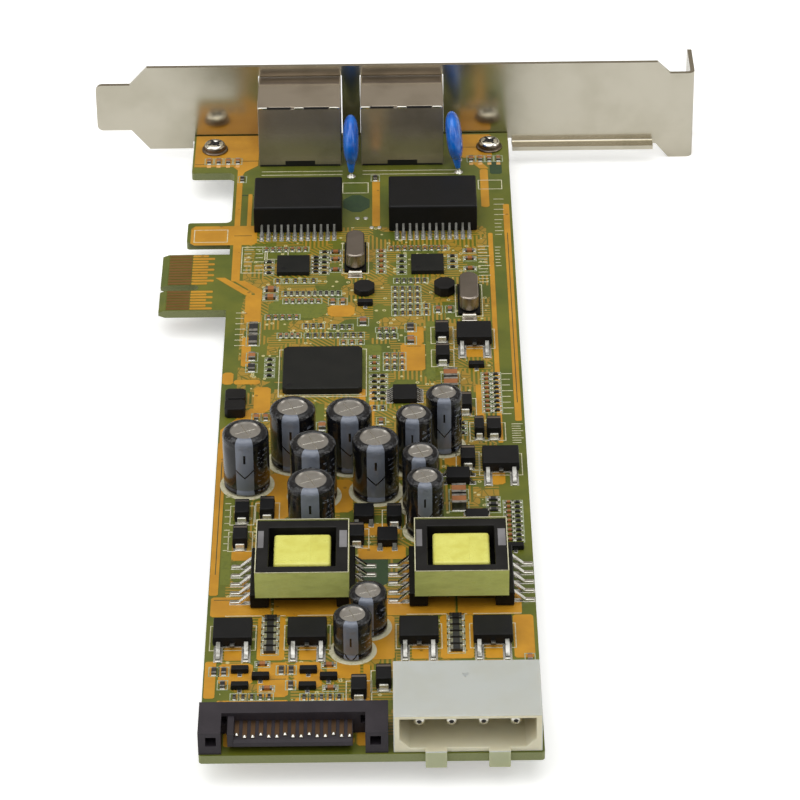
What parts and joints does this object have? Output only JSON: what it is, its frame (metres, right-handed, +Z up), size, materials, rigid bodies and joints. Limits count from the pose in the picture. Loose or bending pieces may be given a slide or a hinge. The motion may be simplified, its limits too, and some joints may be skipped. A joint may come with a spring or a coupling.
{
  "type": "network interface card",
  "caption": "Bare network card with a slotted mounting bracket, shielded jack ports, tall power capacitors, transformers and an edge connector along its left side.",
  "frame": {"origin": "centre of the bounding box in plan, at the level of the lowest point, which is the bracket's foot, flange corner and lip level", "axes": "+X along the slot bracket from its narrow foot to its screw flange, +Y from the board's far end towards the bracket, +Z up out of the board's component side"},
  "size_m": [0.12, 0.213, 0.0216],
  "materials": {
    "board_laminate": "glossy solder mask over glass-fibre laminate",
    "gold_contacts": "gold-plated contact fingers",
    "bracket_steel": "nickel-plated sheet steel",
    "screw_steel": "nickel-plated screws",
    "shield_tin": "tinned port shields",
    "port_plastic": "moulded port housings",
    "gold_springs": "gold-plated springs",
    "lens": "clear port lights",
    "blue_coating": "blue dipped coating",
    "mould_black": "black moulding compound",
    "lead_tin": "tinned leads",
    "chip_black": "chip packages",
    "crystal_can": "drawn crystal cans",
    "crystal_base": "crystal carriers",
    "inductor_body": "inductor bodies",
    "sleeve_black": "shrink sleeves",
    "solder": "solder joints",
    "ferrite": "ferrite cores",
    "band_tape": "outer tape bands",
    "winding_tape": "yellow polyester tape",
    "bobbin": "coil formers",
    "ceramic": "chip capacitors",
    "resistor": "chip resistors",
    "plug_plastic": "moulded power plug",
    "plug_contacts": "plug contacts",
    "nylon": "white nylon header",
    "pins": "tinned round pins"
  },
  "bodies": {
    "root": {"bracket_screws": "screw_steel", "bridge_chip": "chip_black", "capacitor_1": "sleeve_black", "capacitor_10": "sleeve_black", "capacitor_11": "sleeve_black", "capacitor_12": "sleeve_black", "capacitor_2": "sleeve_black", "capacitor_3": "sleeve_black", "capacitor_4": "sleeve_black", "capacitor_5": "sleeve_black", "capacitor_6": "sleeve_black", "capacitor_7": "sleeve_black", "capacitor_8": "sleeve_black", "capacitor_9": "sleeve_black", "chip_capacitors": "ceramic", "chip_resistors": "resistor", "circuit_board": "board_laminate", "controller_1": "chip_black", "controller_2": "chip_black", "crystal_1": "crystal_can", "crystal_2": "crystal_can", "crystal_bases": "crystal_base", "diode_bodies": "mould_black", "diode_leads": "lead_tin", "disc_capacitor_1": "blue_coating", "disc_capacitor_2": "blue_coating", "edge_contacts": "gold_contacts", "magnetics_1_body": "mould_black", "magnetics_1_leads": "lead_tin", "magnetics_2_body": "mould_black", "magnetics_2_leads": "lead_tin", "port_1_contacts": "gold_springs", "port_1_housing": "port_plastic", "port_1_shield": "shield_tin", "port_2_contacts": "gold_springs", "port_2_housing": "port_plastic", "port_2_shield": "shield_tin", "port_lights": "lens", "power_header": "nylon", "power_header_pins": "pins", "power_inductors": "inductor_body", "power_plug": "plug_plastic", "power_plug_contacts": "plug_contacts", "power_transistors": "mould_black", "slot_bracket": "bracket_steel", "small_chip_leads": "lead_tin", "small_chips": "chip_black", "solder_joints": "solder", "transformer_1_band": "band_tape", "transformer_1_bobbin": "bobbin", "transformer_1_core": "ferrite", "transformer_1_leads": "lead_tin", "transformer_1_winding": "winding_tape", "transformer_2_band": "band_tape", "transformer_2_bobbin": "bobbin", "transformer_2_core": "ferrite", "transformer_2_leads": "lead_tin", "transformer_2_winding": "winding_tape", "transistor_leads": "lead_tin"}
  },
  "joints": []
}
